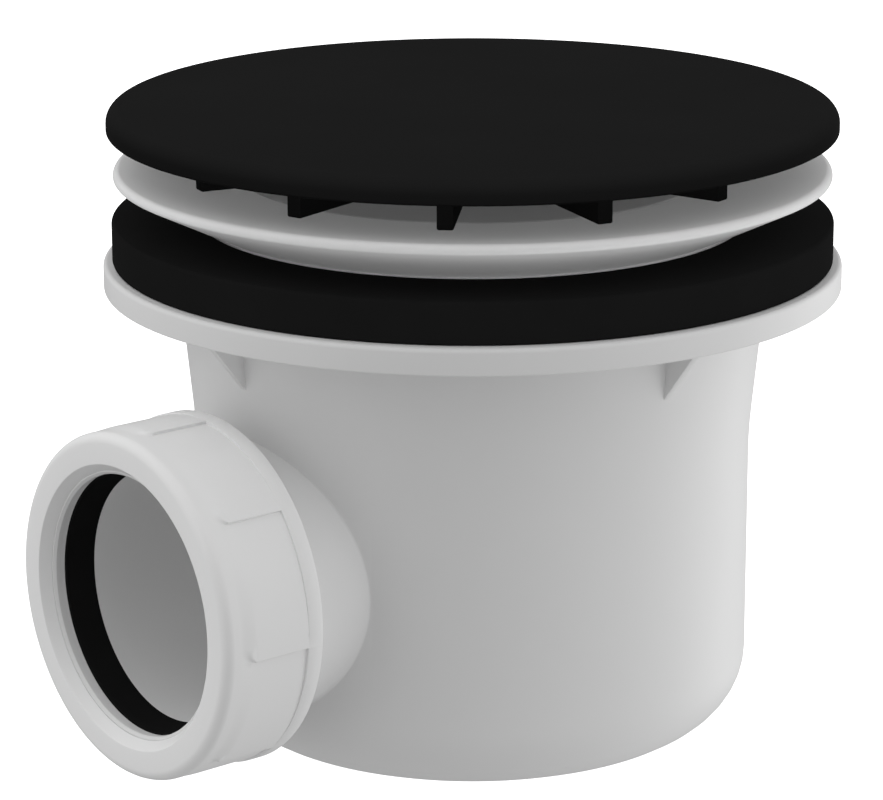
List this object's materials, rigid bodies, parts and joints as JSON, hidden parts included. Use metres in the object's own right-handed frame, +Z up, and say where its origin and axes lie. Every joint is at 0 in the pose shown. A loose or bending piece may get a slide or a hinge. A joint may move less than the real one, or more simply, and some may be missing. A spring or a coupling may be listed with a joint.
{
  "type": "shower trap",
  "caption": "Low round shower trap: dark lift-off cover, flange and rubber ring that clamp the tray, pot with a lift-out water-seal cup, and a side outlet with a union nut for a waste pipe.",
  "frame": {"origin": "centre of the pot's flat underside, on the main axis", "axes": "+Z up along the main axis towards the cover, +X along the outlet, away from the pot"},
  "size_m": [0.1323, 0.1212, 0.104],
  "materials": {
    "white_polypropylene": "moulded, satin",
    "black_rubber": "moulded, dull",
    "grey_polyethylene": "moulded, dull",
    "black_abs": "moulded, fine satin"
  },
  "bodies": {
    "trap": {"trap_body": "white_polypropylene", "tray_seal": "black_rubber", "top_flange": "white_polypropylene", "trap_insert": "white_polypropylene", "insert_o_ring": "black_rubber", "trap_cup": "white_polypropylene", "outlet_seal": "black_rubber"},
    "cover": {"cover_plate": "black_abs"},
    "slip_ring": {"outlet_washer": "grey_polyethylene"},
    "nut": {"outlet_nut": "white_polypropylene"}
  },
  "joints": [
    {"name": "cover_lift", "type": "slide", "parent": "trap", "child": "cover", "axis": [0, 0, 1], "range_m": [0, 0.025]},
    {"name": "nut_travel", "type": "slide", "parent": "trap", "child": "slip_ring", "axis": [1, 0, 0], "range_m": [0, 0.008]},
    {"name": "nut_turn", "type": "hinge", "parent": "slip_ring", "child": "nut", "pos_m": [0.063, 0, 0.0329], "axis": [1, 0, 0], "range_deg": [0, 720]}
  ],
  "couplings": [
    {"joint": "nut_travel", "follows": "nut_turn", "m_per_rad": 0.00063662}
  ]
}
